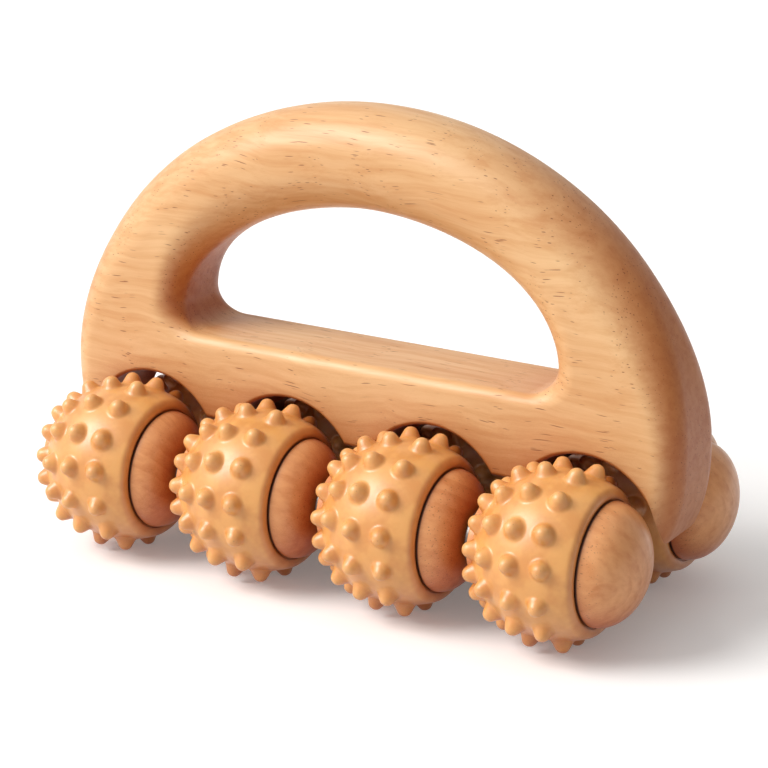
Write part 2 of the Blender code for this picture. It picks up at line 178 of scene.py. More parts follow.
class Shader:
    """A material's node tree, with one short call for each kind of node."""

    def __init__(self, name):
        self.material = bpy.data.materials.new(name)
        self.material.use_nodes = True
        self.tree = self.material.node_tree
        self.surface = self.tree.nodes["Principled BSDF"]

    def node(self, kind, inputs=None, **settings):
        made = self.tree.nodes.new(kind)
        for key, value in settings.items():
            setattr(made, key, value)
        for key, value in (inputs or {}).items():
            self.feed(made.inputs[key], value)
        return made

    def feed(self, socket, value):
        if isinstance(value, bpy.types.NodeSocket):
            self.tree.links.new(value, socket)
        else:
            socket.default_value = value

    def set(self, **values):
        for key, value in values.items():
            self.feed(self.surface.inputs[key.replace("_", " ")], value)

    def math(self, operation, a, b=0.0, c=0.0, clamp=False):
        made = self.node("ShaderNodeMath", operation=operation, use_clamp=clamp)
        for socket, value in zip(made.inputs, (a, b, c)):
            self.feed(socket, value)
        return made.outputs[0]

    def vector(self, operation, a, b=(0, 0, 0)):
        made = self.node("ShaderNodeVectorMath", operation=operation)
        self.feed(made.inputs[0], a)
        self.feed(made.inputs[1], b)
        return made.outputs["Value" if operation in ("LENGTH", "DISTANCE") else "Vector"]

    def place(self):
        """Object-space position in millimetres."""
        coords = self.node("ShaderNodeTexCoord").outputs["Object"]
        return self.vector("MULTIPLY", coords, (1000, 1000, 1000))

    def own_place(self, where, reach):
        """The position, shifted by a different amount on each object."""
        chance = self.node("ShaderNodeObjectInfo").outputs["Random"]
        return self.vector("ADD", where, self.vector("MULTIPLY", chance, reach))

    def noise(self, where, scale, detail=2.0, roughness=0.5):
        made = self.node("ShaderNodeTexNoise", {"Vector": where, "Scale": scale, "Detail": detail})
        made.inputs["Roughness"].default_value = roughness
        return made.outputs["Fac"]

    def span(self, value, low, high, to_low=0.0, to_high=1.0, smooth=True):
        """Map a value from one span to another, held at both ends."""
        kind = "SMOOTHSTEP" if smooth else "LINEAR"
        made = self.node("ShaderNodeMapRange", interpolation_type=kind, clamp=True)
        for key, item in zip(("Value", "From Min", "From Max", "To Min", "To Max"),
                             (value, low, high, to_low, to_high)):
            self.feed(made.inputs[key], item)
        return made.outputs[0]

    def mix(self, factor, a, b, blend="MIX"):
        made = self.node("ShaderNodeMix", data_type="RGBA", blend_type=blend)
        self.feed(made.inputs[0], factor)
        self.feed(made.inputs[6], a)
        self.feed(made.inputs[7], b)
        return made.outputs[2]

    def bump(self, height, distance, strength=1.0):
        made = self.node("ShaderNodeBump", {"Height": height, "Distance": distance})
        made.inputs["Strength"].default_value = strength
        self.set(Normal=made.outputs[0])


def rgba(red, green, blue):
    """A linear colour from display values of 0 to 255."""
    def linear(value):
        value /= 255
        return value / 12.92 if value <= 0.04045 else ((value + 0.055) / 1.055) ** 2.4
    return (linear(red), linear(green), linear(blue), 1.0)


# Tint for the handle's ends: partly end grain, partly painted shade on the side away from the lamps
END_GRAIN_AND_SHADE_TINT = (0.64, 0.34, 0.15, 1.0)
# Painted shade for recesses, corners and gaps between parts, with the reaches of its occlusion nodes
PAINTED_HOLLOW_SHADE = (0.6, 0.3, 0.13, 1.0)
HOLLOW_REACH = 30.0
SPIKE_HOLLOW_REACH = 14.0
FLOOR_BOUNCE = (0.68, 0.65, 0.62, 1.0)


def flecks(shader, where, cell, seed_shift, share, width):
    """Short dark dashes: stretched cells around random points, kept in a share of the cells."""
    moved = shader.vector("ADD", where, seed_shift)
    scaled = shader.vector("MULTIPLY", moved, tuple(1 / v for v in cell))
    cells = shader.node("ShaderNodeTexVoronoi", {"Vector": scaled, "Scale": 1.0, "Randomness": 1.0})
    near = shader.span(cells.outputs["Distance"], width * 0.5, width, 1.0, 0.0)
    pick = shader.node("ShaderNodeSeparateColor", {"Color": cells.outputs["Color"]}).outputs[0]
    kept = shader.span(pick, share, share * 0.6, 0.0, 1.0)
    return shader.math("MULTIPLY", near, kept)


def wood_material(name, tones, ring_centre, ring_width, weights, gloss, end_grain_and_shade=0.0, shift=(0, 0, 0)):
    """Fine-grained beech along X: faint growth rings, soft streaks and short dark flecks.

    Faces towards +X, and less those towards -X, are deeper in colour, partly from end grain
    taking more oil and partly as painted shade on the side away from the lamps. Recesses and
    hollows are darkened as painted shade.
    """
    light, dark, fleck = tones
    ring_weight, streak_weight, fleck_weight = weights
    s = Shader(name)
    where = s.own_place(s.place(), shift)
    drift = s.node("ShaderNodeTexNoise", {"Vector": where, "Scale": 0.03, "Detail": 2.0})
    swing = s.vector("MULTIPLY", s.vector("SUBTRACT", drift.outputs["Color"], (0.5, 0.5, 0.5)), (0, 9, 9))
    bent = s.vector("ADD", where, swing)
    across = s.vector("MULTIPLY", s.vector("SUBTRACT", bent, ring_centre), (0.1, 1, 1))
    phase = s.math("FRACT", s.math("DIVIDE", s.vector("LENGTH", across), ring_width))
    ring = s.math("MULTIPLY", s.span(phase, 0.2, 1.0), s.span(phase, 1.0, 0.88))
    faded = s.span(s.noise(s.vector("MULTIPLY", bent, (0.02, 0.06, 0.06)), 1.0), 0.35, 0.6)
    streak = s.noise(s.vector("MULTIPLY", bent, (0.02, 0.5, 0.5)), 1.0, 5.0, 0.62)
    broad = s.noise(s.vector("MULTIPLY", bent, (0.012, 0.05, 0.05)), 1.0, 2.0)
    fine = s.noise(s.vector("MULTIPLY", bent, (0.15, 5.0, 5.0)), 1.0, 2.0)
    depth = s.math("MULTIPLY", s.math("MULTIPLY", ring, faded), ring_weight)
    depth = s.math("ADD", depth, s.span(broad, 0.35, 0.65, 0.0, 0.45))
    depth = s.math("ADD", depth, s.span(streak, 0.35, 0.7, 0.0, streak_weight))
    depth = s.math("ADD", depth, s.span(fine, 0.45, 0.8, 0.0, 0.15), clamp=True)
    tone = s.mix(depth, light, dark)
    marks = s.math("MAXIMUM",
                   flecks(s, bent, (18.0, 0.8, 0.8), (3.1, 0.7, 1.9), 0.6, 0.19),
                   flecks(s, bent, (10.0, 0.6, 0.6), (11.3, 5.2, 8.1), 0.6, 0.17))
    tone = s.mix(s.math("MULTIPLY", marks, fleck_weight), tone, fleck)
    facing = s.node("ShaderNodeNewGeometry").outputs["Normal"]
    facing_x = s.node("ShaderNodeSeparateXYZ", {"Vector": facing}).outputs["X"]
    along = s.math("MAXIMUM", facing_x, s.math("MULTIPLY", facing_x, -0.5))
    # Faces towards +X, and less those towards -X, darkened: partly end grain, partly painted shade
    tone = s.mix(s.span(along, 0.1, 0.85, 0.0, end_grain_and_shade), tone, END_GRAIN_AND_SHADE_TINT, "MULTIPLY")
    # Painted shade: recesses, corners and gaps near other parts darkened towards deep orange
    hollow = s.node("ShaderNodeAmbientOcclusion", {"Distance": HOLLOW_REACH * MM}, samples=6)
    tone = s.mix(s.span(hollow.outputs["AO"], 0.78, 0.3), tone, PAINTED_HOLLOW_SHADE, "MULTIPLY")
    # Painted shade: a near-black line on the dome's rim beside the sleeve's groove, where the seam lies in
    # shadow
    if name == "turned_ball_wood":
        own_x = s.node("ShaderNodeSeparateXYZ", {"Vector": s.place()}).outputs["X"]
        from_axle = s.vector("LENGTH", s.vector("MULTIPLY", s.place(), (0, 1, 1)))
        low = s.span(own_x, SEAM_SHADE_X + 0.3, SEAM_SHADE_X - 0.15)
        seam_shade = s.math("MULTIPLY", low, s.span(from_axle, CAP_RADIUS - 1.2, CAP_RADIUS - 0.8))
        tone = s.mix(seam_shade, tone, rgba(58, 28, 14))
    s.set(Base_Color=tone)
    rough = s.math("ADD", s.span(streak, 0.3, 0.7, gloss, gloss + 0.1), s.math("MULTIPLY", marks, 0.15))
    s.set(Roughness=rough, Coat_Weight=0.18, Coat_Roughness=0.34, Specular_IOR_Level=0.5)
    relief = s.math("SUBTRACT", s.math("MULTIPLY", fine, 0.25), marks)
    s.bump(relief, 0.00004, 0.4)
    return s.material


def rubber_material():
    """Satin tan rubber, a little paler and duller on the worn spike tips, with a few dark specks."""
    s = Shader("tan_rubber_satin")
    where = s.place()
    parts = s.node("ShaderNodeSeparateXYZ", {"Vector": where}).outputs
    squash = s.span(parts["X"], -0.01, 0.01, BALL_RADIUS / BALL_HALF_LENGTH, BALL_RADIUS / LIP_SIDE_HALF_LENGTH)
    round_x = s.math("MULTIPLY", parts["X"], squash)
    rounded_out = s.node("ShaderNodeCombineXYZ", {"X": round_x, "Y": parts["Y"], "Z": parts["Z"]})
    height = s.math("SUBTRACT", s.vector("LENGTH", rounded_out.outputs[0]), BALL_RADIUS)
    tip = s.span(height, 1.4, 2.5)
    cloud = s.noise(where, 0.16, 3.0, 0.55)
    tone = s.mix(s.span(cloud, 0.35, 0.65), rgba(230, 166, 92), rgba(216, 146, 74))
    # Painted shade on the lower flank of each spike
    foot = s.math("MULTIPLY", s.span(height, 0.05, 0.5), s.span(height, 1.3, 0.5))
    tone = s.mix(s.math("MULTIPLY", foot, 0.25), tone, rgba(206, 128, 62))
    tone = s.mix(s.math("MULTIPLY", tip, 0.25), tone, rgba(238, 184, 124))
    # Painted shade: a deeper orange band on the rolled lip, the side that faces the dome
    tone = s.mix(s.span(parts["X"], 10.7, 11.7, 0.0, 0.4), tone, rgba(196, 106, 48))
    # Painted shade: hollows on the sleeve, between the balls and under the handle, darkened towards deep orange
    hollow = s.node("ShaderNodeAmbientOcclusion", {"Distance": SPIKE_HOLLOW_REACH * MM}, samples=6)
    tone = s.mix(s.span(hollow.outputs["AO"], 0.75, 0.25, 0.0, 0.85), tone, PAINTED_HOLLOW_SHADE, "MULTIPLY")
    grit = s.noise(where, 1.6, 3.0, 0.6)
    speck_cells = s.node("ShaderNodeTexVoronoi", {"Vector": where, "Scale": 0.9})
    speck = s.span(speck_cells.outputs["Distance"], 0.1, 0.24, 1.0, 0.0)
    worn = s.math("MULTIPLY", s.math("MULTIPLY", speck, s.span(height, 2.1, 2.5)), 0.4)
    tone = s.mix(worn, tone, rgba(150, 90, 48))
    s.set(Base_Color=tone)
    s.set(Roughness=s.math("ADD", s.span(grit, 0.3, 0.7, 0.36, 0.45), s.math("MULTIPLY", tip, 0.08)))
    s.set(Specular_IOR_Level=0.6, Subsurface_Weight=0.1, Subsurface_Scale=0.0012)
    s.set(Coat_Weight=0.45, Coat_Roughness=0.3)
    s.surface.inputs["Subsurface Radius"].default_value = (1.0, 0.45, 0.2)
    fine = s.noise(where, 6.0, 2.0)
    s.bump(s.math("ADD", s.math("MULTIPLY", grit, 0.7), s.math("MULTIPLY", fine, 0.3)), 0.00008, 0.35)
    return s.material


def steel_material():
    """Plain drawn steel with fine lengthwise scratches."""
    s = Shader("drawn_steel")
    where = s.place()
    scratch = s.noise(s.vector("MULTIPLY", where, (0.3, 9, 9)), 1.0, 3.0)
    s.set(Base_Color=s.mix(scratch, rgba(88, 83, 79), rgba(124, 119, 115)), Metallic=1.0)
    s.set(Roughness=s.span(scratch, 0.3, 0.7, 0.26, 0.42))
    s.bump(scratch, 0.00002, 0.3)
    return s.material


def floor_material():
    """Pale paper that throws back less light on to the piece than the camera sees on it."""
    s = Shader("pale_floor")
    where = s.place()
    cloud = s.noise(where, 0.004, 2.0)
    rays = s.node("ShaderNodeLightPath").outputs
    lit = s.math("SUBTRACT", 1.0, rays["Is Diffuse Ray"])
    paper = s.mix(cloud, rgba(250, 249, 248), rgba(253, 252, 252))
    s.set(Base_Color=s.mix(lit, FLOOR_BOUNCE, paper), Roughness=0.7, Specular_IOR_Level=0.2)
    s.set(Emission_Color=rgba(255, 254, 252), Emission_Strength=s.math("MULTIPLY", lit, 0.15))
    return s.material


# Mesh building ---------------------------------------------------------------------------


def mesh_piece(name, vertices, faces, material, sharp_degrees=35.0):
    """A smooth-shaded object from lists of vertices in millimetres and faces."""
    mesh = bpy.data.meshes.new(name)
    mesh.from_pydata([tuple(c * MM for c in v) for v in vertices], [], faces)
    bm = bmesh.new()
    bm.from_mesh(mesh)
    bmesh.ops.recalc_face_normals(bm, faces=bm.faces[:])
    bm.to_mesh(mesh)
    bm.free()
    mesh.materials.append(material)
    mesh.shade_smooth()
    mesh.set_sharp_from_angle(angle=math.radians(sharp_degrees))
    return mesh


def turned_copy(mesh, turn):
    """A copy of a turned mesh, rolled about the axle by an angle."""
    copy = mesh.copy()
    copy.transform(Matrix.Rotation(turn, 4, "X"))
    return copy


def show(name, mesh, body, node, location=(0, 0, 0)):
    """Place a mesh, let it ride on its body and stand for its CAD node."""
    piece = bpy.data.objects.new(name, mesh)
    bpy.context.scene.collection.objects.link(piece)
    piece.location = location
    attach(piece, body)
    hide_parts(node)
    return piece


def rounded(corners, steps=5):
    """Round the corners of an outline of (x, y, radius) points; a radius of 0 stays a corner."""
    result = []
    count = len(corners)
    for i, (x, y, radius) in enumerate(corners):
        here = Vector((x, y))
        if radius == 0:
            result.append((x, y))
            continue
        before = Vector(corners[i - 1][:2])
        after = Vector(corners[(i + 1) % count][:2])
        to_before = (before - here).normalized()
        to_after = (after - here).normalized()
        half = 0.5 * to_before.angle(to_after)
        reach = radius / math.tan(half)
        centre = here + (to_before + to_after).normalized() * (radius / math.sin(half))
        start = here + to_before * reach - centre
        end = here + to_after * reach - centre
        sweep = start.angle_signed(end)
        for step in range(steps + 1):
            spoke = start.copy()
            spoke.rotate(Matrix.Rotation(-sweep * step / steps, 2))
            result.append(tuple(centre + spoke))
    return result


def turned_vertices(profile, angles):
    return [(x, -r * math.sin(a), r * math.cos(a)) for x, r in profile for a in angles]


def band_faces(rings, columns, first=0, closed=True):
    """Quads between rings of a grid of vertices that runs round and, when closed, back to its start."""
    faces = []
    for ring in range(rings if closed else rings - 1):
        a = first + ring * columns
        b = first + ((ring + 1) % rings) * columns
        for i in range(columns):
            j = (i + 1) % columns
            faces.append((a + i, a + j, b + j, b + i))
    return faces


def turned_mesh(name, profile, material, columns=96):
    """Turn an outline about X. A first and last point on the axis become poles."""
    angles = [2 * math.pi * i / columns for i in range(columns)]
    poles = profile[0][1] == 0 and profile[-1][1] == 0
    rim = profile[1:-1] if poles else profile
    vertices = turned_vertices(rim, angles)
    faces = band_faces(len(rim), columns, closed=not poles)
    if poles:
        start, end = len(vertices), len(vertices) + 1
        vertices += [(profile[0][0], 0, 0), (profile[-1][0], 0, 0)]
        last = (len(rim) - 1) * columns
        for i in range(columns):
            j = (i + 1) % columns
            faces.append((start, j, i))
            faces.append((end, last + i, last + j))
    return mesh_piece(name, vertices, faces, material)


# Balls -----------------------------------------------------------------------------------


def spike_height(distance, height):
    """Height of a blunt cone with a round tip and a hollow foot, at distances from its axis."""
    tip = height - SPIKE_TIP_RADIUS
    tip_edge = SPIKE_TIP_RADIUS * math.cos(SPIKE_FLANK)
    flank_top = tip + SPIKE_TIP_RADIUS * math.sin(SPIKE_FLANK)
    flank_foot = SPIKE_FOOT_RADIUS * (1 - math.sin(SPIKE_FLANK))
    foot_edge = tip_edge + (flank_top - flank_foot) * math.tan(SPIKE_FLANK)
    base = foot_edge + SPIKE_FOOT_RADIUS * math.cos(SPIKE_FLANK)
    cap = tip + np.sqrt(np.maximum(SPIKE_TIP_RADIUS ** 2 - distance ** 2, 0))
    flank = flank_top - (distance - tip_edge) / math.tan(SPIKE_FLANK)
    left = np.clip(base - distance, 0, SPIKE_FOOT_RADIUS)
    foot = SPIKE_FOOT_RADIUS - np.sqrt(SPIKE_FOOT_RADIUS ** 2 - left ** 2)
    result = np.where(distance < tip_edge, cap, np.where(distance < foot_edge, flank, foot))
    return np.where(distance < base, result, 0.0)


def on_ball(latitude, longitude, height=0.0):
    """Points of the ball, fuller on its lip side, or at a height above it."""
    half_length = np.where(np.asarray(latitude) > 0, LIP_SIDE_HALF_LENGTH, BALL_HALF_LENGTH)
    along = (half_length + height) * np.sin(latitude)
    around = (BALL_RADIUS + height) * np.cos(latitude)
    return np.stack([along, -around * np.sin(longitude), around * np.cos(longitude)], -1)


def sleeve_surface(seed):
    """The sleeve's outer ball surface with its spikes, as a grid of rows by columns of points."""
    rng = random.Random(seed)
    neck = -math.acos(NECK_RADIUS / BALL_RADIUS)
    latitudes = np.linspace(neck, SHOULDER_LATITUDE, SLEEVE_ROWS)
    longitudes = SPIKE_PHASE + np.arange(SLEEVE_COLUMNS) * 2 * math.pi / SLEEVE_COLUMNS
    lat, lon = np.meshgrid(latitudes, longitudes, indexing="ij")
    ball = on_ball(lat, lon)
    lift = np.zeros(lat.shape)
    step = (SPIKE_FIELD_LATITUDE - neck) / SPIKE_RINGS
    for ring in range(SPIKE_RINGS):
        for column in range(SPIKE_COLUMNS):
            at_lat = neck + step * (ring + 0.5) + rng.gauss(0, 0.012)
            at_lon = SPIKE_PHASE + 2 * math.pi * column / SPIKE_COLUMNS + rng.gauss(0, 0.016)
            distance = np.linalg.norm(ball - on_ball(at_lat, at_lon), axis=-1)
            height = SPIKE_HEIGHT * (1 - abs(rng.gauss(0, 0.03)))
            lift = (lift ** 4 + spike_height(distance, height) ** 4) ** 0.25
    return on_ball(lat, lon, lift)


def lip_outline():
    """The rolled lip, from the end of the ball surface round into the groove beside the cap."""
    x = LIP_SIDE_HALF_LENGTH * math.sin(SHOULDER_LATITUDE)
    r = BALL_RADIUS * math.cos(SHOULDER_LATITUDE)
    start = math.atan2(x / LIP_SIDE_HALF_LENGTH ** 2, r / BALL_RADIUS ** 2)
    centre_x, centre_r = x - LIP_ROUND * math.sin(start), r - LIP_ROUND * math.cos(start)
    angles = [start + (LIP_END_ANGLE - start) * i / 9 for i in range(10)]
    return [(centre_x + LIP_ROUND * math.sin(a), centre_r + LIP_ROUND * math.cos(a)) for a in angles]


def sleeve_mesh(name, seed, material):
    """The whole sleeve: spiked outside, rolled lip, cap seat, bore and neck."""
    surface = sleeve_surface(seed)
    rolled = lip_outline()
    lip = rounded([(x, r, 0) for x, r in rolled] + [
        (SLEEVE_FACE_X, rolled[-1][1], 0.15),
        (SLEEVE_FACE_X, SLEEVE_BORE_RADIUS, 0.15),
        (SLEEVE_STEP_X, SLEEVE_BORE_RADIUS, 0.15),
        (SLEEVE_STEP_X, NECK_RADIUS, 0.15),
    ])
    longitudes = [SPIKE_PHASE + 2 * math.pi * i / SLEEVE_COLUMNS for i in range(SLEEVE_COLUMNS)]
    vertices = [tuple(p) for p in surface.reshape(-1, 3)]
    vertices += turned_vertices(lip[1:], longitudes)
    rings = len(vertices) // SLEEVE_COLUMNS
    return mesh_piece(name, vertices, band_faces(rings, SLEEVE_COLUMNS), material, 50.0)


def dome_mesh(name, bored, material):
    """The turned cap: a full rounded face and a spigot, bored or blind."""
    pole_x = DOME_POLE_X if bored else END_DOME_POLE_X
    rise = pole_x - CAP_RIM_X
    inner = BORE_RADIUS if bored else 0.0
    last = math.acos((inner + 0.5) / CAP_RADIUS) if bored else math.pi / 2
    face = []
    for i in range(33):
        angle = last * i / 32
        face.append((CAP_RIM_X + rise * math.sin(angle), CAP_RADIUS * math.cos(angle)))
    spigot = rounded([
        (SPIGOT_END_X, SPIGOT_RADIUS, 0.4),
        (CAP_BASE_X, SPIGOT_RADIUS, 0.15),
        (CAP_BASE_X, CAP_RADIUS, 0.3),
        (*face[0], 0),
    ], 4)
    if bored:
        profile = [(SPIGOT_END_X, inner)] + spigot + face[1:] + [(face[-1][0] - 0.5, inner)]
    else:
        profile = [(SPIGOT_END_X, 0.0)] + spigot + face[1:-1] + [(pole_x, 0.0)]
    return turned_mesh(name, profile, material, 128)


def core_mesh(material):
    profile = rounded([
        (LEFT_POCKET_FLOOR_X, BORE_RADIUS, 0.2),
        (LEFT_POCKET_FLOOR_X, POCKET_RADIUS, 0.3),
        (HUB_FACE_X, POCKET_RADIUS, 0.35),
        (HUB_FACE_X, CORE_HUB_RADIUS, 0.7),
        (CORE_STEP_X, CORE_HUB_RADIUS, 0.2),
        (CORE_STEP_X, CORE_BARREL_RADIUS, 0.5),
        (CORE_FACE_X, CORE_BARREL_RADIUS, 0.4),
        (CORE_FACE_X, POCKET_RADIUS, 0.3),
        (RIGHT_POCKET_FLOOR_X, POCKET_RADIUS, 0.3),
        (RIGHT_POCKET_FLOOR_X, BORE_RADIUS, 0.2),
    ])
    return turned_mesh("turned_core", profile, material, 72)


def plug_mesh(material):
    """A shallow-domed wooden plug."""
    rim = HUB_FACE_X + 0.35
    face = [(HUB_FACE_X + 0.35 * (i / 6) ** 2, SPIGOT_RADIUS * i / 6, 0) for i in range(6)]
    edge = [(rim, SPIGOT_RADIUS, 0.2), (PLUG_INNER_X, SPIGOT_RADIUS, 0.4), (PLUG_INNER_X, 0.0, 0)]
    return turned_mesh("bore_plug", rounded(face + edge), material, 64)


def build_balls(dome_wood, rubber):
    sleeves = [sleeve_mesh("rubber_sleeve", seed, rubber) for seed in (3, 8)]
    bored = dome_mesh("bored_dome", True, dome_wood)
    blind = dome_mesh("blind_dome", False, dome_wood)
    core = core_mesh(dome_wood)
    plug = plug_mesh(dome_wood)
    column = 2 * math.pi / SPIKE_COLUMNS
    for index, (body, pivot) in enumerate(sorted(PIVOTS.items())):
        tag = body.replace("roller_", "")
        sleeve = turned_copy(sleeves[index % 2], column * (3 * index % SPIKE_COLUMNS))
        dome = turned_copy(blind if tag.endswith("4") else bored, 0.9 * index)
        show("rubber_sleeve_" + tag, sleeve, body, "sleeve_" + tag, pivot)
        show("turned_dome_" + tag, dome, body, "dome_cap_" + tag, pivot)
        show("turned_core_" + tag, core, body, "core_" + tag, pivot)
        if tag.endswith("1"):
            row = tag.split("_")[0]
            show("bore_plug_" + row, plug, body, "end_plug_" + row, pivot)


# Handle ----------------------------------------------------------------------------------


def ease(value):
    value = min(max(value, 0.0), 1.0)
    return value * value * (3 - 2 * value)


def arch_outline():
    """The arch from +X over the top to -X, as (x, z, edge round)."""
    points = []
    for i in range(ARCH_STEPS + 1):
        angle = math.pi * i / ARCH_STEPS
        z = WAIST_RISE + ARCH_HEIGHT * math.sin(angle)
        edge = END_ROUND + (GRIP_ROUND - END_ROUND) * ease((z - WAIST_RISE) / GRIP_ROUND_RISE)
        points.append((HALF_LENGTH * math.cos(angle), z, edge))
    return points


def superellipse(angle, squareness):
    """Cosine and sine of an angle, pushed out towards a square corner."""
    power = 2 / squareness
    cosine, sine = math.cos(angle), math.sin(angle)
    return math.copysign(abs(cosine) ** power, cosine), abs(sine) ** power


def leg_outline():
    """The end of the board below its widest point, at +X, curving in under the end ball."""
    points = []
    for i in range(1, LEG_STEPS + 1):
        reach, drop = superellipse(0.5 * math.pi * i / LEG_STEPS, LEG_SQUARENESS)
        x = HALF_LENGTH - LEG_REACH * (1 - reach)
        edge = TOOTH_ARRIS + (END_ROUND - TOOTH_ARRIS) * ease(reach)
        points.append((x, WAIST_RISE - LEG_DROP * drop, edge))
    return points


def outer_outline():
    """The board's outer edge before it is scalloped, counterclockwise seen from the front."""
    leg = leg_outline()
    left_leg = [(-x, z, edge) for x, z, edge in leg]
    teeth = [(BALLS[0], TOOTH_BOTTOM, TOOTH_ARRIS), (BALLS[-1], TOOTH_BOTTOM, TOOTH_ARRIS)]
    return arch_outline() + left_leg + teeth + leg[::-1]


def opening_outline():
    """The finger opening, clockwise, so that the wood is on its left as on the outer edge."""
    side_z = OPENING_FLOOR + OPENING_CORNER
    points = []
    for i in range(ARCH_STEPS + 1):
        reach, rise = superellipse(math.pi - math.pi * i / ARCH_STEPS, OPENING_SQUARENESS)
        z = side_z + (OPENING_TOP - side_z) * rise
        fullness = ease((z - side_z) / OPENING_ROUND_RISE)
        edge = OPENING_ROUND + (GRIP_ROUND - OPENING_ROUND) * fullness
        points.append((OPENING_HALF_WIDTH * reach, z, edge))
    corner = []
    for i in range(1, CORNER_STEPS + 1):
        angle = 0.5 * math.pi * i / CORNER_STEPS
        x = OPENING_HALF_WIDTH - OPENING_CORNER * (1 - math.cos(angle))
        edge = OPENING_ROUND + (BAR_ARRIS - OPENING_ROUND) * ease(i / CORNER_STEPS)
        corner.append((x, side_z - OPENING_CORNER * math.sin(angle), edge))
    reach = corner[-1][0]
    bar = [(reach * (1 - 2 * i / BAR_STEPS), OPENING_FLOOR, BAR_ARRIS) for i in range(1, BAR_STEPS)]
    return points + corner + bar + [(-x, z, edge) for x, z, edge in corner[::-1]]


def inward_offsets(outline):
    """For each outline point, the mitred direction into the wood that its neighbours give."""
    flat = np.array([point[:2] for point in outline])
    ahead = np.roll(flat, -1, 0) - flat
    ahead /= np.linalg.norm(ahead, axis=1)[:, None]
    normal = np.stack([-ahead[:, 1], ahead[:, 0]], 1)
    before = np.roll(normal, 1, 0)
    return (normal + before) / (1 + (normal * before).sum(1))[:, None]


def edge_rings(outline):
    """Rings of points round one edge of the board, from the front face to the back face."""
    offsets = inward_offsets(outline)
    quarter = [0.5 * math.pi * i / ROUND_STEPS for i in range(ROUND_STEPS + 1)]
    sections = [(-1, a) for a in quarter[::-1]] + [(1, a) for a in quarter]
    rings = []
    for side, angle in sections:
        for (x, z, edge), (dx, dz) in zip(outline, offsets):
            inset = edge * (1 - math.cos(angle))
            y = side * (HALF_THICKNESS - edge * (1 - math.sin(angle)))
            rings.append((x + dx * inset, y, AXLE_Z / MM + z + dz * inset))
    return rings, len(sections)


def face_triangles(loops):
    """Triangles that fill the flat face between the board's edge and its opening."""
    return geometry.tessellate_polygon([[Vector((x, z, 0)) for x, _, z in loop] for loop in loops])


def handle_mesh(material):
    vertices, faces, loops = [], [], []
    for outline in (outer_outline(), opening_outline()):
        points, rings = edge_rings(outline)
        faces += band_faces(rings, len(outline), len(vertices), closed=False)
        loops.append((len(vertices), len(outline), rings))
        vertices += points
    for ring in (0, -1):
        indices = []
        for first, count, rings in loops:
            start = first + (rings - 1) * count if ring else first
            indices += range(start, start + count)
        edges = [[vertices[i] for i in indices[:loops[0][1]]], [vertices[i] for i in indices[loops[0][1]:]]]
        faces += [tuple(indices[i] for i in triangle) for triangle in face_triangles(edges)]
    return mesh_piece("beech_handle", vertices, faces, material)


def cutter(name, mesh):
    item = bpy.data.objects.new(name, mesh)
    bpy.context.scene.collection.objects.link(item)
    return item


def box_mesh(name, low, high):
    x0, y0, z0 = low
    x1, y1, z1 = high
    corners = [(x, y, z) for x in (x0, x1) for y in (y0, y1) for z in (z0, z1)]
    faces = [(0, 1, 3, 2), (4, 6, 7, 5), (0, 4, 5, 1), (2, 3, 7, 6), (0, 2, 6, 4), (1, 5, 7, 3)]
    return mesh_piece(name, corners, faces, bpy.data.materials[0])


def bar_mesh(name, length, radius, material, edge=0.0, columns=32):
    """A round bar along X from zero, with rounded ends where an edge radius is given."""
    corners = [(0, 0, 0), (0, radius, edge), (length, radius, edge), (length, 0, 0)]
    return turned_mesh(name, rounded(corners, 4), material, columns)


def carve(item, cutters):
    """Cut shapes from an object for good, then drop the cutters."""
    for tool in cutters:
        modifier = item.modifiers.new(tool.name, "BOOLEAN")
        modifier.operation = "DIFFERENCE"
        modifier.solver = "EXACT"
        modifier.object = tool
    settle(item)
    for tool in cutters:
        bpy.data.objects.remove(tool)


def settle(item):
    """Replace an object's mesh by what its modifiers make of it."""
    bpy.context.view_layer.update()
    seen = item.evaluated_get(bpy.context.evaluated_depsgraph_get())
    mesh = bpy.data.meshes.new_from_object(seen)
    item.modifiers.clear()
    item.data = mesh


def clean(mesh):
    """Merge the slivers that cutting leaves in flat faces."""
    bm = bmesh.new()
    bm.from_mesh(mesh)
    bmesh.ops.remove_doubles(bm, verts=bm.verts[:], dist=0.000002)
    bmesh.ops.dissolve_degenerate(bm, edges=bm.edges[:], dist=0.000002)
    bmesh.ops.dissolve_limit(bm, angle_limit=math.radians(0.3), verts=bm.verts[:], edges=bm.edges[:])
    bm.to_mesh(mesh)
    bm.free()


def hanger_positions():
    return [(a + b) / 2 + HANGER_OFFSET for a, b in zip(BALLS, BALLS[1:])]


def scallop_mesh(material):
    """A drum along Y that flares at the board's faces, so the arch it cuts has a soft edge."""
    side = []
    for i in range(ROUND_STEPS + 1):
        angle = 0.5 * math.pi * i / ROUND_STEPS
        reach = HALF_THICKNESS - SCALLOP_ARRIS * (1 - math.sin(angle))
        side.append((reach, SCALLOP_RADIUS + SCALLOP_ARRIS * (1 - math.cos(angle))))
    side.append((HALF_THICKNESS + 2, side[-1][1]))
    profile = [(-x, r) for x, r in side[::-1]] + side
    ends = [(profile[0][0], 0.0)], [(profile[-1][0], 0.0)]
    mesh = turned_mesh("scallop", ends[0] + profile + ends[1], material, SCALLOP_SIDES)
    mesh.transform(Matrix.Rotation(math.pi / 2, 4, "Z"))
    return mesh


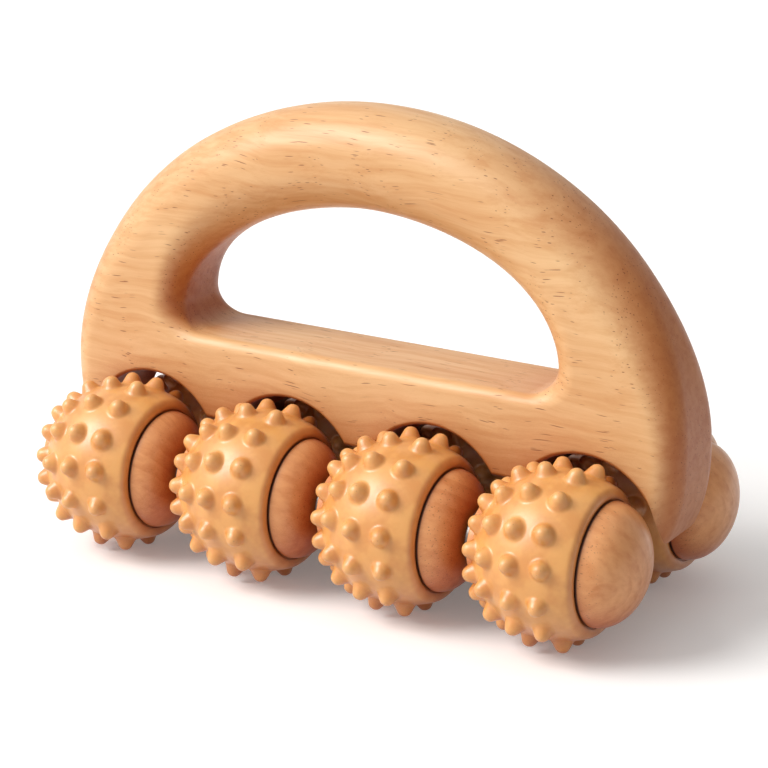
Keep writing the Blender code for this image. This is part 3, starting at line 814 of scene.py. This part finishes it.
def build_handle(beech):
    handle = cutter("beech_handle", handle_mesh(beech))
    base = AXLE_Z / MM
    half_x = HANGER_THICKNESS / 2 + HOLE_CLEARANCE
    half_y = HANGER_RISER_HALF + HOLE_CLEARANCE
    top = base + HANGER_RISER_TOP + HOLE_CLEARANCE
    tools = []
    drum = scallop_mesh(beech)
    for x in BALLS:
        tools.append(cutter("scallop", drum))
        tools[-1].location = (x * MM, 0, (base + SCALLOP_RISE) * MM)
    for x in hanger_positions():
        low = (x - half_x, -half_y, base + TOOTH_BOTTOM - 4)
        tools.append(cutter("mortise", box_mesh("mortise", low, (x + half_x, half_y, top))))
    start = hanger_positions()[0] - 12
    length = hanger_positions()[-1] + 12 - start
    for y in (-PIN_Y, PIN_Y):
        tools.append(cutter("pin_bore", bar_mesh("pin_bore", length, PIN_RADIUS + HOLE_CLEARANCE, beech)))
        tools[-1].location = (start * MM, y * MM, AXLE_Z + PIN_RISE * MM)
    carve(handle, tools)
    clean(handle.data)
    handle.data.name = "beech_handle"
    handle.data.shade_smooth()
    handle.data.set_sharp_from_angle(angle=math.radians(35))
    handle.modifiers.new("flat_faces", "WEIGHTED_NORMAL").keep_sharp = True
    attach(handle, "handle_frame")
    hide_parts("handle")


# Steelwork -------------------------------------------------------------------------------


def hanger_outline():
    """One plate seen along X as (y, z) above the axles."""
    shoulder = TOOTH_BOTTOM - HOLE_CLEARANCE
    eye = []
    for i in range(25):
        angle = math.radians(-90 + 7.5 * i)
        eye.append((ROW_Y + HANGER_EYE_RADIUS * math.cos(angle), HANGER_EYE_RADIUS * math.sin(angle)))
    right = [(HANGER_SHOULDER_HALF, -HANGER_WAIST_DROP)] + eye
    right += [
        (HANGER_SHOULDER_HALF, shoulder),
        (HANGER_RISER_HALF, shoulder),
        (HANGER_RISER_HALF, HANGER_RISER_TOP),
    ]
    return right + [(-y, z) for y, z in right[::-1]]


def hanger_blank(material):
    half = HANGER_THICKNESS / 2
    outline = hanger_outline()
    count = len(outline)
    vertices = [(-half, y, z) for y, z in outline] + [(half, y, z) for y, z in outline]
    sides = [(i, (i + 1) % count, count + (i + 1) % count, count + i) for i in range(count)]
    faces = [tuple(range(count)), tuple(range(count, 2 * count))] + sides
    return mesh_piece("steel_hanger", vertices, faces, material)


def hanger_mesh(steel):
    """The plate with its rod and pin holes and softened edges."""
    plate = cutter("steel_hanger", hanger_blank(steel))
    tools = []
    for radius, y, z in ((ROD_RADIUS, ROW_Y, 0.0), (PIN_RADIUS, PIN_Y, PIN_RISE)):
        for side in (-1, 1):
            tool = cutter("hole", bar_mesh("hole", 8, radius + HOLE_CLEARANCE / 2, steel, columns=48))
            tool.location = (-4 * MM, side * y * MM, z * MM)
            tools.append(tool)
    carve(plate, tools)
    bevel = plate.modifiers.new("edges", "BEVEL")
    bevel.width = HANGER_EDGE * MM
    bevel.segments = 2
    bevel.limit_method = "ANGLE"
    settle(plate)
    mesh = plate.data
    mesh.shade_smooth()
    mesh.set_sharp_from_angle(angle=math.radians(40))
    bpy.data.objects.remove(plate)
    return mesh


def build_steelwork(steel):
    plate = hanger_mesh(steel)
    pin = bar_mesh("steel_pin", 14.0, PIN_RADIUS, steel, 0.4)
    left, right = BALLS[0] - 16.0, BALLS[-1] + 8.5
    rod = bar_mesh("steel_rod", right - left, ROD_RADIUS, steel, 0.6, 48)
    clip_outline = rounded([
        (0.0, BORE_RADIUS, 0.1),
        (0.5, CLIP_RADIUS, 0.2),
        (CLIP_THICKNESS, CLIP_RADIUS, 0.3),
        (CLIP_THICKNESS - 0.3, BORE_RADIUS, 0.1),
    ])
    clip = turned_mesh("steel_clip", clip_outline, steel, 48)
    base = Vector((0, 0, AXLE_Z))
    body = "handle_frame"
    for x, side in zip(hanger_positions(), ("left", "middle", "right")):
        show("steel_hanger_" + side, plate, body, "hanger_" + side, base + Vector((x * MM, 0, 0)))
        for y, row in ((-PIN_Y, "near"), (PIN_Y, "far")):
            tag = side + "_" + row
            at = base + Vector((x - 7.0, y, PIN_RISE)) * MM
            show("steel_pin_" + tag, pin, body, "hanger_pin_" + tag, at)
    for y, row in ((-ROW_Y, "near"), (ROW_Y, "far")):
        show("steel_rod_" + row, rod, body, "axle_rod_" + row, base + Vector((left, y, 0)) * MM)
        for side in ("left", "right"):
            node = "axle_clip_" + row + "_" + side
            low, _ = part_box(node)
            at = Vector((low.x, y * MM, AXLE_Z))
            show("steel_clip_" + row + "_" + side, clip, body, node, at)


# Studio ----------------------------------------------------------------------------------


def aim(item, target):
    item.rotation_euler = (Vector(target) - item.location).to_track_quat("-Z", "Y").to_euler()


def area_light(name, location, target, size, power, colour=(1, 1, 1)):
    data = bpy.data.lights.new(name, "AREA")
    data.shape = "DISK"
    data.size = size
    data.energy = power
    data.color = colour
    lamp = bpy.data.objects.new(name, data)
    bpy.context.scene.collection.objects.link(lamp)
    lamp.location = location
    aim(lamp, target)
    return lamp


def build_floor():
    half = 4000.0
    corners = [(-half, -half, 0), (half, -half, 0), (half, half, 0), (-half, half, 0)]
    floor = cutter("studio_floor", mesh_piece("studio_floor", corners, [(0, 1, 2, 3)], floor_material()))
    floor.location.z = cad_box[0][2]


def build_lights():
    world = bpy.data.worlds.new("studio")
    bpy.context.scene.world = world
    world.use_nodes = True
    tree = world.node_tree
    direction = tree.nodes.new("ShaderNodeTexCoord").outputs["Generated"]
    lean = tree.nodes.new("ShaderNodeVectorMath")
    lean.operation = "DOT_PRODUCT"
    tree.links.new(direction, lean.inputs[0])
    lean.inputs[1].default_value = Vector((-0.75, -0.4, 0.5)).normalized()
    level = tree.nodes.new("ShaderNodeMapRange")
    for key, value in (("From Min", -0.8), ("From Max", 0.9), ("To Min", 0.14), ("To Max", 0.7)):
        level.inputs[key].default_value = value
    tree.links.new(lean.outputs["Value"], level.inputs["Value"])
    rays = tree.nodes.new("ShaderNodeLightPath")
    brighter = tree.nodes.new("ShaderNodeMath")
    brighter.operation = "MULTIPLY_ADD"
    sees_more = tree.nodes.new("ShaderNodeMath")
    sees_more.operation = "MULTIPLY_ADD"
    tree.links.new(rays.outputs["Is Camera Ray"], sees_more.inputs[0])
    sees_more.inputs[1].default_value = 3.0
    tree.links.new(rays.outputs["Is Glossy Ray"], sees_more.inputs[2])
    tree.links.new(sees_more.outputs[0], brighter.inputs[0])
    brighter.inputs[1].default_value = 0.35
    tree.links.new(level.outputs[0], brighter.inputs[2])
    tree.links.new(brighter.outputs[0], tree.nodes["Background"].inputs["Strength"])
    tree.nodes["Background"].inputs["Color"].default_value = (1.0, 1.0, 1.0, 1.0)
    sun = bpy.data.lights.new("key", "SUN")
    sun.energy = 2.0
    sun.angle = math.radians(34)
    sun.color = (1.0, 0.99, 0.97)
    lamp = bpy.data.objects.new("key", sun)
    bpy.context.scene.collection.objects.link(lamp)
    lamp.location = (-0.62, -0.6, 0.8)
    aim(lamp, (0, 0, 0.05))
    area_light("softbox", (-0.7, -0.6, 0.7), (0, 0, 0.06), 0.6, 3.6, (1.0, 0.99, 0.97))


def build_camera():
    azimuth, elevation = CAMERA_AZIMUTH, CAMERA_ELEVATION
    back = Vector((math.sin(azimuth) * math.cos(elevation),
                   -math.cos(azimuth) * math.cos(elevation), math.sin(elevation)))
    right = Vector((math.cos(azimuth), math.sin(azimuth), 0))
    up = back.cross(right)
    data = bpy.data.cameras.new("camera")
    data.lens = CAMERA_LENS
    data.sensor_width = 36.0
    camera = bpy.data.objects.new("camera", data)
    bpy.context.scene.collection.objects.link(camera)
    row_middle = Vector((sum(BALLS) / len(BALLS), -ROW_Y, 0)) * MM + Vector((0, 0, AXLE_Z))
    camera.location = row_middle + back * CAMERA_DISTANCE + right * CAMERA_RIGHT + up * CAMERA_UP
    camera.rotation_euler = Matrix((right, up, back)).transposed().to_euler()
    bpy.context.scene.camera = camera


def build():
    pale = (rgba(234, 190, 138), rgba(212, 154, 98), rgba(138, 80, 40))
    red = (rgba(240, 172, 114), rgba(216, 138, 80), rgba(122, 66, 34))
    beech = wood_material("beech_varnished", pale, (0, 34, -40), 4.2, (0.2, 0.5, 0.85), 0.42, 1.0)
    dome_wood = wood_material("turned_ball_wood", red, (20, 9, 30), 3.6, (0.4, 0.45, 0.6), 0.32,
                              shift=(60, 45, 70))
    build_handle(beech)
    build_balls(dome_wood, rubber_material())
    build_steelwork(steel_material())
    build_floor()
    build_lights()
    build_camera()
    bpy.context.scene.view_settings.view_transform = "Standard"


build()
bpy.context.view_layer.update()
